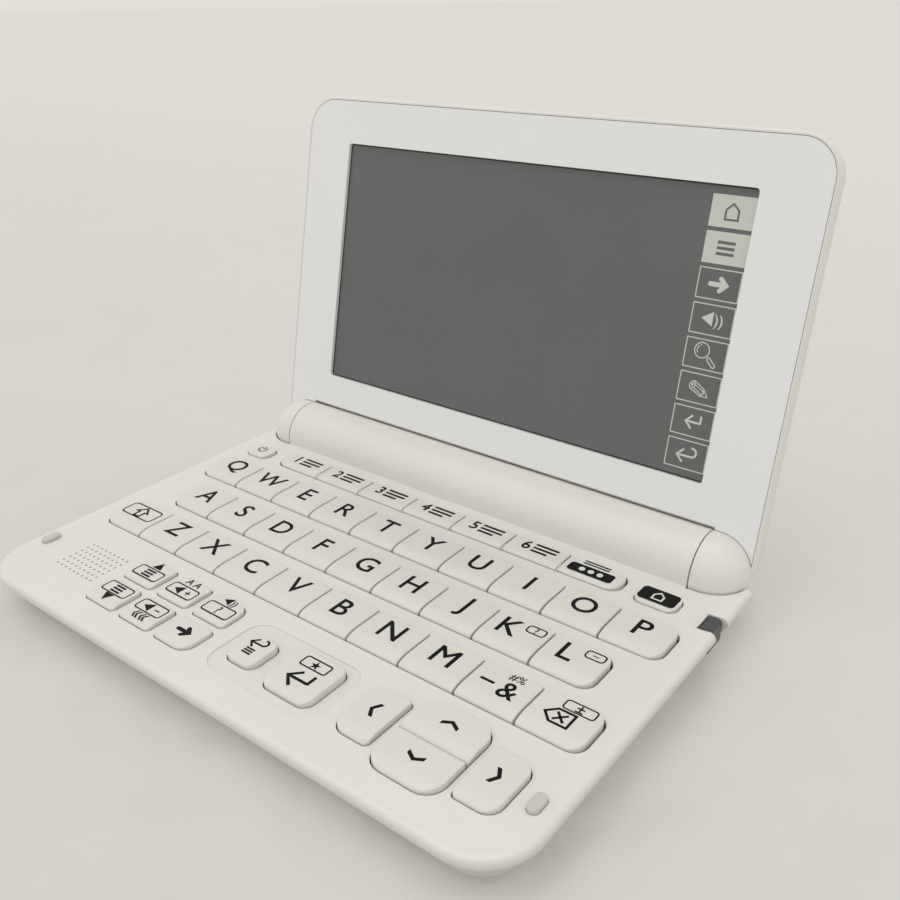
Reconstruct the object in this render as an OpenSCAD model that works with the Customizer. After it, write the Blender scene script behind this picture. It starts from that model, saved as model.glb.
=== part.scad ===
// Electronic dictionary: a clamshell with a keyboard base, a barrel hinge
// that houses two AA cells, and a lid that carries the display.
// Each piece is drawn at rest, with the lid standing open.
// The working frame has X to the right, Y to the back with the hinge axis at
// Y = 0, and Z up from the top of the deck.

/* [Base] */
// Distance from the front edge of the base to the hinge axis
axis_back = 96.3; // [95:0.1:102]
// Radius of the front corners seen from above
corner_r = 12; // [10:0.5:15]
// Radius of the rounding along the deck's edge
edge_r = 1.7; // [1.2:0.1:1.7]
// Depth of the seam between the two halves of the base, below the deck
seam_drop = 1.8; // [1.8:0.1:2.2]
// How far the side walls lean in towards the underside
side_lean = 3.5; // [2.5:0.1:4]
// Thickness of the deck
deck_t = 1.4; // [1.2:0.1:1.5]
// Thickness of the side walls
wall_t = 1.6; // [1.2:0.1:1.8]
// Thickness of the base's floor
floor_t = 1.2; // [1:0.1:1.4]

/* [Hinge] */
// Height of the hinge axis above the deck
axis_up = 0.8; // [0.4:0.1:1.2]
// Radius of the barrel and of the knuckles beside it
barrel_r = 8.6; // [8.6:0.1:9.2]
// Wall between the battery bay and a bush
bush_wall = 1.8; // [1.4:0.1:3]
// Wall at each end of the barrel
barrel_end_t = 0.6; // [0.4:0.1:1]
// Width at each side of the base that the knuckle takes
knuckle_zone = 12.4; // [12.2:0.1:13]
// Gap between the barrel's end and the knuckle
knuckle_gap = 0.3; // [0.2:0.05:0.4]
// Straight length of a knuckle before its round end
knuckle_straight = 1.6; // [1:0.1:2]
// Gap round a knuckle in the base, and round the barrel in the lid
swing_gap = 0.4; // [0.35:0.05:0.6]
// Radius of the hinge pins
pin_r = 2; // [1.6:0.1:2.4]
// Running clearance between a hinge pin and its bush
pin_clear = 0.06; // [0.02:0.01:0.09]
// Length of a hinge bush
bush_len = 6.6; // [5:0.1:6.6]
// Outer radius of a hinge bush
bush_r = 4.5; // [3.5:0.1:5]

/* [Lid] */
// Angle between the deck and the lid at rest
lid_open = 102.5; // [60:0.5:150]
// Distance of the bezel's face behind the hinge axis
face_back = 1.24; // [1.1:0.01:1.6]
// Thickness of the lid
lid_t = 5.2; // [5:0.1:6]
// How far each side of the lid stands inside the base's side
lid_side_in = 1.5; // [1:0.1:2]
// How far the shut lid's front edge stands behind the base's front edge
lid_front_in = 2.9; // [1.5:0.1:5]
// Width of the rear shell's rim round the bezel
rim_t = 1.0; // [0.8:0.1:1.4]
// Radius of the lid's corners
lid_corner_r = 9; // [6:0.5:12]
// Radius of the lid's rear edges
lid_edge_r = 2.8; // [1.5:0.1:3]
// Thickness of the bezel
bezel_t = 1.0; // [0.8:0.1:1.2]
// Distance of the bezel's lower edge from the hinge axis
bezel_low = 9.2; // [9.2:0.1:10]
// Width of the display window
window_w = 114; // [100:1:118]
// Height of the bezel above the display window
window_top = 10.8; // [8:0.1:16]
// Distance of the window's lower edge above the bezel's lower edge
window_up = 8.6; // [7:0.1:10]
// How far the display's glass reaches under the bezel
glass_lap = 2.2; // [1.5:0.1:3]
// Thickness of the display's glass
glass_t = 0.8; // [0.5:0.1:1]
// Thickness of the display panel
panel_t = 1.9; // [1.4:0.1:1.9]

/* [Keys] */
// Deck beside the first letter row, on average
side_margin = 5.85; // [5.4:0.05:8]
// Strip of deck between two letter rows
row_strip = 4.4; // [2.5:0.1:6]
// Strip of deck between the rear row and the first letter row
rear_strip = 4.9; // [2.5:0.1:6]
// Distance from the base's front edge to the first letter row
row_front = 29.8; // [29:0.1:30.6]
// Gap between two keys in a row
key_gap = 0.45; // [0.3:0.05:0.6]
// Gap between a key and the deck
key_clear = 0.25; // [0.2:0.05:0.35]
// Height of the letter keys above the deck
key_rise = 1.2; // [0.8:0.1:1.4]
// How far a key travels when it is pressed
key_travel = 0.8; // [0.5:0.1:0.9]
// Radius of the corners at the ends of a row
end_r = 2.8; // [1.5:0.1:3.5]
// Depth of a key in the rear row
rear_d = 7; // [5.5:0.1:7]
// Distance from the hinge axis to the front of the rear row
rear_front = 19.8; // [19.6:0.1:20.2]
// Height of the small keys above the deck
small_rise = 0.85; // [0.6:0.05:1.1]

/* [Inside] */
// Length of one AA cell
cell_len = 50.5; // [49.5:0.1:50.5]
// Radius of one AA cell
cell_r = 7.1; // [6.9:0.1:7.1]
// Clearance round the cells
cell_clear = 0.3; // [0.2:0.05:0.3]
// Room for a contact at each end of the cells
contact_room = 2.1; // [1.8:0.1:2.4]
// Depth of the top of the main board below the deck
board_drop = 4.8; // [4.7:0.1:5]
// Thickness of the main board
board_t = 1.2; // [0.8:0.1:1.4]
// Thickness of the key membrane
membrane_t = 0.5; // [0.3:0.1:0.6]
// Radius of the speaker
speaker_r = 8; // [6:0.5:8.5]
// Height of the earphone socket's body, the tallest piece in the base
jack_h = 5.4; // [5.2:0.1:8]
// Room above and below the earphone socket, together
jack_room = 0.8; // [0.6:0.1:1.5]

/* [Outside] */
// Height of the rubber feet below the base
foot_h = 1; // [0.6:0.1:2]
// Distance from the base's front edge to the stylus's tip
stylus_margin = 11.5; // [5:0.5:30]
// Radius of the stylus
stylus_r = 1.7; // [1.3:0.1:1.8]

/* [Hidden] */
ivory = "#EFEBE0";
key_white = "#E4E1D8";
pale_grey = "#E6E5E1";
screen_grey = "#5F6160";
charcoal = "#3A3B3D";
soft_grey = "#BEBBB4";
steel = "#B9BCC0";
board_green = "#2F6B4F";
rubber_grey = "#8C8A85";
$fn = 64;
eps = 0.01;

// Overall places: the cells and the hinge set the width
bay_half = cell_len + contact_room;
barrel_half = bay_half + bush_wall + bush_len + barrel_end_t;
half_w = barrel_half + knuckle_zone;
front_y = -axis_back;
base_h = deck_t + jack_h + jack_room + floor_t;
knuckle_in = barrel_half + knuckle_gap;
ball_x = knuckle_in + knuckle_straight;
rear_cut = -1.5;
swing_r = barrel_r + swing_gap;
lid_clear_r = swing_r + 0.1;

// Rear curve of the lower half, which meets the barrel at the seam
tail_r = base_h - seam_drop;
tail_y = sqrt(pow(barrel_r, 2) - pow(axis_up + seam_drop, 2)) - tail_r;

// Battery bay and door
bay_r = cell_r + cell_clear;
touch_gap = 0.05;
nub_len = 1;
nub_r = 2.7;
plate_r = 5;
plate_t = 0.5;
door_half = bay_half - 5.6;
door_front = -6.2;
door_top = -seam_drop - 1.2;
door_gap = 0.25;
door_t = 1.2;
door_tab = [8, 3, 0.6];
door_tab_x = 30;

// Lid, measured from the hinge axis along the lid and behind its face
lid_half = half_w - lid_side_in;
lid_len = axis_back - lid_front_in;
lid_back = face_back + lid_t;
lobe_end = -2;
lobe_corner_r = 5;
bezel_half = lid_half - rim_t;
bezel_len = lid_len - rim_t;
bezel_lobe_end = 3;
bezel_gap = 0.1;
window_low = bezel_low + window_up;
window_h = bezel_len - window_low - window_top;
glass_half = window_w / 2 + glass_lap;
glass_low = window_low - glass_lap;
glass_h = window_h + 2 * glass_lap;
display_clear = 0.3;
seat_t = 1.2;

// Letter keys fill the width and the depth that is left for them
key_pitch = (2 * half_w - 2 * side_margin) / 10;
row_pitch = (axis_back - rear_front - rear_strip - row_front + row_strip) / 3;
key_d = row_pitch - row_strip;

// Arrow keys: up and down share one opening between left and right
arrow_w = key_pitch + 1.67;
arrow_d = 9.5;
arrow_front = 6.9;
arrow_side_w = key_pitch - 5.13;
arrow_side_d = 13.2;
arrow_side_front = 9.8;
arrow_strip = 1.6;
arrow_x = half_w - 8.55 - arrow_side_w - arrow_strip - arrow_w / 2;
arrow_r = 4;
arrow_side_r = 3;
arrow_left_x = arrow_x - arrow_w / 2 - arrow_strip - arrow_side_w;
arrow_right_x = arrow_x + arrow_w / 2 + arrow_strip;

// Recessed panel round the back and enter keys
panel_w = 2 * key_pitch + 3.24;
panel_x = arrow_left_x - 3.45 - panel_w;
panel_front = 7.5;
panel_d = 17;
panel_drop = 0.3;
panel_r = 4.5;
back_w = key_pitch - 5.73;
enter_w = key_pitch - 1.13;

// Sizes of the small keys at the left
grid_step = [key_pitch - 1.73, 9.8];
grid_w = grid_step[0] - 2.1;
grid_d = 7.8;
grid_left = panel_x - 4.1 - 2 * grid_step[0] - grid_w;
grid_front = 7.4;
grid_r = 1;

// Speaker and its grille
speaker_x = grid_left - 10.8;
speaker_y = front_y + 16.5;
speaker_t = 3.2;
grille_pitch = 1.6;
grille_cols = 9;
grille_rows = 7;
grille_hole_r = 0.32;

// Key construction
tab_gap = 0.2;
tab_t = 0.5;
tab_reach = 0.6;
key_sink = deck_t + tab_gap + tab_t;
stem_len = 0.3;
stem_r = 1.5;
dome_gap = 0.3;
dome_top = -(key_sink + stem_len + key_travel + dome_gap);
inner_r = 0.4;
slope_run = 3.2;

// Height that a pressed key stays above
key_floor = -(key_sink + key_travel + dome_gap);

// Screws, one at each front corner clear of the keys and two beside the knuckles
screw_left = [9.5 - half_w, front_y + 11];
screw_right = [half_w - 9, front_y + 26.4];
screw_rear = [half_w - 8, -11.3];
SCREWS = [screw_left, screw_right, [-screw_rear[0], screw_rear[1]], screw_rear];
screw_head_r = 1.9;
screw_head_t = 1.1;
screw_r = 0.95;
screw_clear = 0.2;
boss_r = 1.9;
boss_meet = -4.5;
head_floor = -base_h + 1.3;

// Feet and bumpers
foot_r = 3.2;
foot_sink = 0.3;
FEET = [[-half_w + 14, front_y + 14.5], [half_w - 14, front_y + 14.5],
    [-bay_half - 1.9, -2.4], [bay_half + 1.9, -2.4]];
bumper = [2.4, 4.6];
bumper_rise = 0.9;
bumper_sink = 0.4;
bumper_x = half_w - 4.6;
bumper_y = front_y + 16.6;

// Stylus, in a groove that is open to the right
stylus_x = half_w - 3.6;
stylus_z = -4.5;
stylus_end = -14.8;
stylus_len = axis_back + stylus_end - stylus_margin;
stylus_clear = 0.3;
head_len = 5.4;
head_w = 2.9;
head_top = -0.4;
groove_in = stylus_x - stylus_r - stylus_clear;
groove_low = stylus_z - stylus_r - stylus_clear;
groove_front = stylus_end - stylus_len - stylus_clear;
channel_t = 1;
scoop_r = 14;
scoop_d = 0.6;

// Sockets on the left side
jack_y = front_y + 51;
jack_z = -base_h + floor_t + 0.2 + jack_h / 2;
jack_r = 1.8;
jack_len = 7;
jack_body = [6, jack_h];
collar_r = 2.3;
socket_clear = 0.2;
usb_y = front_y + 23.5;
usb_z = -5.05;
usb_body = [8, 6, 2.7];
socket_back = half_w - wall_t - side_lean - 0.1;
socket_face = half_w - side_lean - 0.1;

// Main board outline
board_left = -half_w + 7.5;
board_right = groove_in - channel_t - 1;
board_front = front_y + 5.5;
board_rear = -14.6;
board_tongue = barrel_half - 3.2;
post_x = half_w - 30;
board_tongue_rear = -11;
cavity_rear = door_front;
block_in = barrel_half - 2.6;
block_front = -12.3;
post_r = 1.5;

// Profiles are lists of [inset from the widest line, height], from below up
upper_profile = concat([[0, -seam_drop]],
    [for (a = [0:18:90]) [edge_r - edge_r * cos(a), -edge_r + edge_r * sin(a)]]);
seam_step = 0.2;
lower_profile = [[side_lean + 1.8, -base_h], [side_lean + 0.8, -base_h + 0.5],
    [side_lean, -base_h + 1.5], [seam_step, -seam_drop]];
cavity_profile = [[wall_t + side_lean, -base_h + floor_t], [wall_t + side_lean, -base_h + 1.5],
    [wall_t + seam_step, -seam_drop]];
lid_profile = concat(
    [for (a = [0:18:90])
        [lid_edge_r - lid_edge_r * sin(a), -lid_back + lid_edge_r - lid_edge_r * cos(a)]],
    [[0, -face_back - 0.5], [0.5, -face_back]]);

// Key layout: [node, left, front, width, depth, corner radii, height]
ROW_1 = ["key_q", "key_w", "key_e", "key_r", "key_t", "key_y", "key_u", "key_i", "key_o", "key_p"];
ROW_2 = ["key_a", "key_s", "key_d", "key_f", "key_g", "key_h", "key_j", "key_k", "key_l"];
ROW_3 = ["key_shift", "key_z", "key_x", "key_c", "key_v", "key_b", "key_n", "key_m",
    "key_symbol", "key_delete"];
row_1_left = 0.45 + side_margin - half_w;
row_2_left = row_1_left + key_pitch / 2 + 0.3;
row_3_left = row_1_left + 0.7;
power_left = row_1_left + 0.3;
power_w = 7.7;
home_w = 9.7;
home_left = half_w - 10.1 - home_w;
rear_left = power_left + power_w + 4.6;
rear_pitch = (home_left - 3.6 - rear_left) / 7;
REAR = concat([for (i = [1:6]) "dictionary_keys"], ["key_menu"]);

function row_keys(names, left, front, pitch, depth, rise) =
    let (last = len(names) - 1)
    [for (i = [0:last]) [names[i], left + i * pitch + key_gap / 2, front, pitch - key_gap, depth,
        [i == 0 ? end_r : inner_r, i == last ? end_r : inner_r,
            i == last ? end_r : inner_r, i == 0 ? end_r : inner_r], rise]];

// Small keys at the left: three columns and two rows
function grid_keys() =
    [for (c = [0:2], r = [0:1]) ["function_keys", grid_left + c * grid_step[0],
        front_y + grid_front + r * grid_step[1], grid_w, grid_d,
        [grid_r, c == 2 && r == 0 ? 3 : grid_r, c == 2 && r == 1 ? 3 : grid_r, grid_r], small_rise]];

SINGLES = [
    ["key_power", power_left, -rear_front - 0.4, power_w, 5.7, [2, 2, 2, 2], small_rise],
    ["key_home", home_left, -rear_front, home_w, 6, [2, 2, 2, 2], small_rise],
    ["key_back", panel_x + 2.8, front_y + 11.7, back_w, 8.5, [2.2, 2.2, 2.2, 2.2], key_rise - 0.1],
    ["key_enter", panel_x + panel_w - 3.3 - enter_w, front_y + 10.2, enter_w, 12.3,
        [2.4, 2.4, 2.4, 2.4], key_rise],
    ["key_left", arrow_left_x, front_y + arrow_side_front, arrow_side_w, arrow_side_d,
        [arrow_side_r, 1, 1, arrow_side_r], key_rise],
    ["key_right", arrow_right_x, front_y + arrow_side_front, arrow_side_w, arrow_side_d,
        [1, arrow_side_r, arrow_side_r, 1], key_rise],
    ["key_down", arrow_x - arrow_w / 2, front_y + arrow_front, arrow_w, arrow_d,
        [arrow_r, arrow_r, inner_r, inner_r], key_rise],
    ["key_up", arrow_x - arrow_w / 2, front_y + arrow_front + arrow_d + key_gap, arrow_w, arrow_d,
        [inner_r, inner_r, arrow_r, arrow_r], key_rise]
];

KEYS = concat(
    row_keys(ROW_1, row_1_left, front_y + row_front + 2 * row_pitch, key_pitch, key_d, key_rise),
    row_keys(ROW_2, row_2_left, front_y + row_front + row_pitch, key_pitch, key_d, key_rise),
    row_keys(ROW_3, row_3_left, front_y + row_front, key_pitch, key_d, key_rise),
    row_keys(REAR, rear_left, -rear_front, rear_pitch, rear_d, small_rise),
    grid_keys(), SINGLES);

// Openings in the deck: [left, front, width, depth, corner radii]
row_corners = [end_r, end_r, end_r, end_r];
OPENINGS = concat(
    [[row_1_left, front_y + row_front + 2 * row_pitch, len(ROW_1) * key_pitch, key_d, row_corners],
     [row_2_left, front_y + row_front + row_pitch, len(ROW_2) * key_pitch, key_d, row_corners],
     [row_3_left, front_y + row_front, len(ROW_3) * key_pitch, key_d, row_corners],
     [rear_left, -rear_front, len(REAR) * rear_pitch, rear_d, row_corners],
     [arrow_x - arrow_w / 2, front_y + arrow_front, arrow_w, 2 * arrow_d + key_gap,
        [arrow_r, arrow_r, arrow_r, arrow_r]]],
    [for (k = grid_keys()) [k[1], k[2], k[3], k[4], k[5]]],
    [for (i = [0:5]) let (k = SINGLES[i]) [k[1], k[2], k[3], k[4], k[5]]]);

CASE_NODES = ["base_top_case", "base_bottom_case", "battery_door", "battery_cells",
    "battery_contacts", "main_board", "key_membrane", "speaker", "rubber_feet",
    "case_screws", "deck_bumpers", "hinge_bushes", "hinge_pins", "earphone_jack",
    "usb_socket", "lid_rear_shell", "lid_bezel", "display_glass", "display_panel", "stylus"];
LONE_KEYS = ["dictionary_keys", "key_menu", "function_keys"];

// The finished part stands on its feet at Z = 0, centred on its bounding box
lid_reach = max([for (p = lid_profile) (lid_len - p[0]) * -cos(lid_open) - p[1] * sin(lid_open)]);
mid_y = (front_y + lid_reach) / 2;
module in_place() {
    translate([0, -mid_y, base_h + foot_h]) children();
}

// The lid is drawn lying open flat, with its face up and the hinge axis along X
module in_lid() {
    in_place() translate([0, 0, axis_up]) rotate([180 - lid_open, 0, 0]) children();
}

// A block from one corner to the opposite one
module span(low, high) {
    translate(low) cube(high - low);
}

// A rod along X between two places, about a line at y and z
module rod(x0, x1, r, y = 0, z = 0) {
    translate([x0, y, z]) rotate([0, 90, 0]) cylinder(r = r, h = x1 - x0);
}

// The same shape at both ends of the width
module both_sides() {
    children();
    mirror([1, 0, 0]) children();
}

function corner_points(x, y, r, start) =
    [for (i = [0:5]) [x + r * cos(start + 18 * i), y + r * sin(start + 18 * i)]];

// A rectangle with its own radius at each corner, front left first
module rounded(w, d, r) {
    polygon(concat(corner_points(r[0], r[0], r[0], 180), corner_points(w - r[1], r[1], r[1], 270),
        corner_points(w - r[2], d - r[2], r[2], 0), corner_points(r[3], d - r[3], r[3], 90)));
}

// A plate whose two rear corners are round
module round_top(half, d, r) {
    difference() {
        translate([-half, 0]) square([2 * half, d]);
        both_sides() translate([half - r, d - r]) difference() {
            square([r + 1, r + 1]);
            circle(r = r);
        }
    }
}

// A tray: one edge profile carried along both sides, the front and its corners
module tray(profile, half, front, rear, corner) {
    low = profile[0][1];
    high = profile[len(profile) - 1][1];
    right = [for (p = profile) [half - p[0], p[1]]];
    left = [for (i = [len(profile) - 1:-1:0]) [profile[i][0] - half, profile[i][1]]];
    translate([0, rear, 0])
        rotate([90, 0, 0])
            linear_extrude(rear - front - corner) polygon(concat(right, left));
    translate([corner - half, 0, 0])
        rotate([90, 0, 90])
            linear_extrude(2 * (half - corner))
                polygon(concat([for (p = profile) [front + p[0], p[1]]],
                    [[front + corner + 1, high], [front + corner + 1, low]]));
    both_sides()
        translate([half - corner, front + corner, 0])
            rotate([0, 0, -90])
                rotate_extrude(angle = 90)
                    polygon(concat([[0, low]], [for (p = profile) [corner - p[0], p[1]]], [[0, high]]));
}

// The lower rear curve between the knuckles, drawn smaller by inset
module tail(inset) {
    intersection() {
        union() {
            rod(-barrel_half, barrel_half, tail_r - inset, tail_y, -seam_drop);
            span([-barrel_half, -12, -base_h + inset], [barrel_half, tail_y, 0]);
        }
        span([-barrel_half, -12, -base_h], [barrel_half, 20, -seam_drop]);
    }
}

// Room that each knuckle turns in, open below so that no thin skin is left
module knuckle_room() {
    both_sides() {
        rod(barrel_half, ball_x, swing_r, 0, axis_up);
        translate([ball_x, 0, axis_up]) intersection() {
            sphere(r = swing_r);
            span([barrel_half - ball_x, -20, -20], [20, 20, 20]);
        }
        translate([ball_x, 0, -base_h - 1]) cylinder(r = swing_r - 1.8, h = base_h - 4);
        span([barrel_half, -swing_r + 1.8, -base_h - 1], [ball_x, 20, -5]);
    }
}

module battery_bay() {
    rod(-bay_half, bay_half, bay_r, 0, axis_up);
}

module bush_seats() {
    both_sides() {
        rod(barrel_half - barrel_end_t - bush_len - 0.1, barrel_half - barrel_end_t, bush_r + 0.1,
            0, axis_up);
        rod(barrel_half - 1, barrel_half + 1, pin_r + 0.4, 0, axis_up);
    }
}

// Notch and groove that hold the stylus
module stylus_room() {
    span([groove_in, groove_front, groove_low], [half_w + 5, stylus_end + stylus_clear, -seam_drop]);
    span([stylus_x - 0.95, stylus_end - head_len - stylus_clear, groove_low],
        [half_w + 5, stylus_end + stylus_clear, 5]);
}

module key_opening(o) {
    translate([o[0] - key_clear, o[1] - key_clear, -deck_t - 1])
        linear_extrude(deck_t + 3)
            rounded(o[2] + 2 * key_clear, o[3] + 2 * key_clear, [for (r = o[4]) r + key_clear]);
}

module grille() {
    for (c = [0:grille_cols - 1], r = [0:grille_rows - 1])
        translate([speaker_x + (c - (grille_cols - 1) / 2) * grille_pitch,
            speaker_y + (r - (grille_rows - 1) / 2) * grille_pitch, -deck_t - 1])
            cylinder(r = grille_hole_r, h = deck_t + 2, $fn = 16);
}

module base_top_case() {
    color(ivory) in_place() difference() {
        union() {
            difference() {
                tray(upper_profile, half_w, front_y, rear_cut, corner_r);
                difference() {
                    translate([0, 0, -seam_drop - 1])
                        tray([[wall_t, 0], [wall_t, seam_drop + 1 - deck_t]], half_w, front_y, -9.5, corner_r);
                    both_sides() span([block_in, block_front, -5], [half_w, 0, 0]);
                }
            }
            intersection() {
                rod(-barrel_half, barrel_half, barrel_r, 0, axis_up);
                span([-half_w, -20, -seam_drop], [half_w, 20, 20]);
            }
            for (s = SCREWS)
                translate([s[0], s[1], boss_meet]) cylinder(r = boss_r, h = -boss_meet - deck_t + 0.2);
            translate([speaker_x, speaker_y, -deck_t - 1.8])
                cylinder(r = speaker_r + 1, h = 2);
        }
        translate([speaker_x, speaker_y, -deck_t - 3])
            cylinder(r = speaker_r + 0.15, h = 3);
        span([-half_w, front_y - 1, -10], [half_w, front_y, 5]);
        battery_bay();
        bush_seats();
        knuckle_room();
        both_sides() span([barrel_half, rear_cut, -20], [half_w + 5, 20, 20]);
        stylus_room();
        translate([stylus_x - 0.4, stylus_end - head_len / 2, scoop_r - scoop_d])
            sphere(r = scoop_r);
        for (o = OPENINGS) key_opening(o);
        grille();
        translate([panel_x, front_y + panel_front, -panel_drop])
            linear_extrude(panel_drop + 1) rounded(panel_w, panel_d, [panel_r, panel_r, panel_r, panel_r]);
        bumper_pockets();
        for (s = SCREWS)
            translate([s[0], s[1], boss_meet - 1])
                cylinder(r = screw_r + 0.05, h = 1 - boss_meet - deck_t - 0.4);
    }
}

module bumper_shape(grow) {
    w = bumper[0] / 2 + grow;
    both_sides() {
        translate([bumper_x, bumper_y - bumper[1] / 2 + bumper[0] / 2]) circle(r = w);
        translate([bumper_x, bumper_y + bumper[1] / 2 - bumper[0] / 2]) circle(r = w);
        translate([bumper_x - w, bumper_y - bumper[1] / 2 + bumper[0] / 2])
            square([2 * w, bumper[1] - bumper[0]]);
    }
}

module bumper_pockets() {
    translate([0, 0, -bumper_sink]) linear_extrude(2) bumper_shape(0.05);
}

module base_bottom_case() {
    color(ivory) in_place() difference() {
        union() {
            difference() {
                union() {
                    tray(lower_profile, half_w, front_y, rear_cut, corner_r);
                    tail(0);
                }
                difference() {
                    tray(cavity_profile, half_w, front_y, cavity_rear, corner_r);
                    rod(-barrel_half, barrel_half, barrel_r, 0, axis_up);
                    both_sides() span([block_in, block_front, -base_h], [half_w, 0, 0]);
                }
            }
            intersection() {
                tray(lower_profile, half_w, front_y, rear_cut, corner_r);
                span([groove_in - channel_t, groove_front - channel_t, -base_h],
                    [half_w, stylus_end + channel_t, -seam_drop]);
            }
            for (s = SCREWS)
                translate([s[0], s[1], -base_h + 0.5])
                    cylinder(r = boss_r + 0.9, h = base_h - 0.5 + boss_meet);
            for (x = [-post_x, 0, post_x], y = [front_y + 24, front_y + 60])
                translate([x, y, -base_h + 0.5])
                    cylinder(r = post_r, h = base_h - 0.5 - board_drop - board_t);
        }
        battery_bay();
        bush_seats();
        knuckle_room();
        both_sides() span([barrel_half, rear_cut, -20], [half_w + 5, 20, 20]);
        stylus_room();
        span([groove_in - channel_t - 1, groove_front, key_floor],
            [groove_in + 1, stylus_end + stylus_clear, 0]);
        span([-door_half, door_front, -base_h - 1], [door_half, 20, door_top]);
        for (s = SCREWS) translate([s[0], s[1], 0]) {
            translate([0, 0, boss_meet]) cylinder(r = boss_r + 0.3, h = 5);
            translate([0, 0, -base_h - 1])
                cylinder(r = screw_head_r + screw_clear, h = 1 + base_h + head_floor);
            translate([0, 0, -base_h]) cylinder(r = screw_r + screw_clear, h = base_h);
        }
        for (f = FEET)
            translate([f[0], f[1], -base_h - 1]) cylinder(r = foot_r + 0.05, h = 1 + foot_sink);
        rod(-half_w - 1, -socket_back, collar_r + socket_clear, jack_y, jack_z);
        span([-half_w - 1, usb_y - usb_body[0] / 2 - socket_clear, usb_z - usb_body[2] / 2 - socket_clear],
            [-socket_back, usb_y + usb_body[0] / 2 + socket_clear, usb_z + usb_body[2] / 2 + socket_clear]);
    }
}

module battery_door() {
    color(ivory) in_place() {
        difference() {
            intersection() {
                tail(0);
                span([-door_half + door_gap, door_front + door_gap, -base_h],
                    [door_half - door_gap, 20, door_top - door_gap]);
            }
            tail(door_t);
        }
        both_sides()
            span([door_tab_x, door_front - door_tab[1], -base_h + floor_t + 0.1],
                [door_tab_x + door_tab[0], door_front + 1.6, -base_h + floor_t + 0.1 + door_tab[2]]);
        both_sides()
            span([door_tab_x, door_front + door_gap, -base_h + door_t - 0.2],
                [door_tab_x + door_tab[0], door_front + 1.6, -base_h + floor_t + 0.3]);
    }
}

// Two cells end to end, positive ends to the right
module battery_cells() {
    color(steel) in_place() for (x = [-cell_len - touch_gap, 0]) {
        rod(x, x + cell_len - nub_len, cell_r, 0, axis_up);
        rod(x + cell_len - nub_len - 0.2, x + cell_len, nub_r, 0, axis_up);
    }
}

// Plates at the bay's ends, with a cone spring at the left
module battery_contacts() {
    color(steel) in_place() {
        rod(bay_half - plate_t, bay_half, plate_r, 0, axis_up);
        rod(cell_len + touch_gap, bay_half - plate_t + 0.1, 2, 0, axis_up);
        rod(-bay_half, -bay_half + plate_t, plate_r, 0, axis_up);
        translate([-bay_half + plate_t - 0.1, 0, axis_up])
            rotate([0, 90, 0]) cylinder(r1 = 4, r2 = 2.4, h = contact_room - plate_t + 0.1 - touch_gap);
    }
}

module board_outline(grow) {
    difference() {
        union() {
            translate([board_left - grow, board_front - grow])
                rounded(board_right - board_left + 2 * grow, board_rear - board_front + 2 * grow,
                    [7, 7, 1, 1]);
            translate([-board_tongue - grow, board_rear - 2])
                square([2 * (board_tongue + grow), board_tongue_rear - board_rear + 2 + grow]);
        }
        for (s = SCREWS) translate(s) circle(r = boss_r + 1.4 - grow);
        translate([speaker_x, speaker_y]) circle(r = speaker_r + 1.4 - grow);
        translate([-half_w, jack_y - jack_body[0] / 2 - 0.4 + grow])
            square([half_w - socket_back + jack_len + 0.4 - grow, jack_body[0] + 0.8 - 2 * grow]);
        translate([-half_w, usb_y - usb_body[0] / 2 - 0.4 + grow])
            square([half_w - socket_face + usb_body[1] + 0.4 - grow, usb_body[0] + 0.8 - 2 * grow]);
    }
}

module main_board() {
    color(board_green) in_place() {
        translate([0, 0, -board_drop - board_t]) linear_extrude(board_t) board_outline(0);
        under = -board_drop - board_t;
        span([-8, front_y + 40, under - 1.1], [6, front_y + 54, under + 0.1]);
        span([20, front_y + 42, under - 1], [30, front_y + 50, under + 0.1]);
        span([-32, front_y + 34, under - 0.9], [-22, front_y + 48, under + 0.1]);
        span([18, front_y + 66, under - 1.1], [36, front_y + 72, under + 0.1]);
    }
}

module key_membrane() {
    color(rubber_grey) in_place() {
        translate([0, 0, -board_drop]) linear_extrude(membrane_t) board_outline(-0.4);
        for (k = KEYS)
            translate([k[1] + k[3] / 2, k[2] + k[4] / 2, -board_drop])
                cylinder(r1 = 2.6, r2 = 1.7, h = board_drop + dome_top);
    }
}

module speaker() {
    color(charcoal) in_place() translate([speaker_x, speaker_y, -deck_t - 0.1])
        rotate_extrude() polygon([[0, -0.9], [2.4, -0.9], [5.4, -0.3], [6.6, 0], [speaker_r, 0],
            [speaker_r, -1.2], [5.2, -1.6], [5.2, -speaker_t], [0, -speaker_t]]);
}

module rubber_feet() {
    color(rubber_grey) in_place() for (f = FEET)
        translate([f[0], f[1], -base_h - foot_h]) {
            cylinder(r1 = foot_r - 0.4, r2 = foot_r, h = 0.4);
            translate([0, 0, 0.4]) cylinder(r = foot_r, h = foot_h + foot_sink - 0.4);
        }
}

module case_screws() {
    color(steel) in_place() for (s = SCREWS) translate([s[0], s[1], 0]) {
        difference() {
            translate([0, 0, head_floor - screw_head_t]) cylinder(r = screw_head_r, h = screw_head_t);
            for (a = [0, 90]) rotate([0, 0, a])
                span([-1.2, -0.3, head_floor - screw_head_t - 1], [1.2, 0.3, head_floor - screw_head_t + 0.6]);
        }
        translate([0, 0, head_floor - 0.2]) cylinder(r = screw_r, h = -head_floor - deck_t - 0.8);
    }
}

module deck_bumpers() {
    color(soft_grey) in_place() translate([0, 0, -bumper_sink])
        linear_extrude(bumper_sink + bumper_rise) bumper_shape(0);
}

module hinge_bushes() {
    color(steel) in_place() both_sides() difference() {
        rod(barrel_half - barrel_end_t - bush_len, barrel_half - barrel_end_t, bush_r, 0, axis_up);
        rod(0, half_w, pin_r + pin_clear, 0, axis_up);
    }
}

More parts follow.
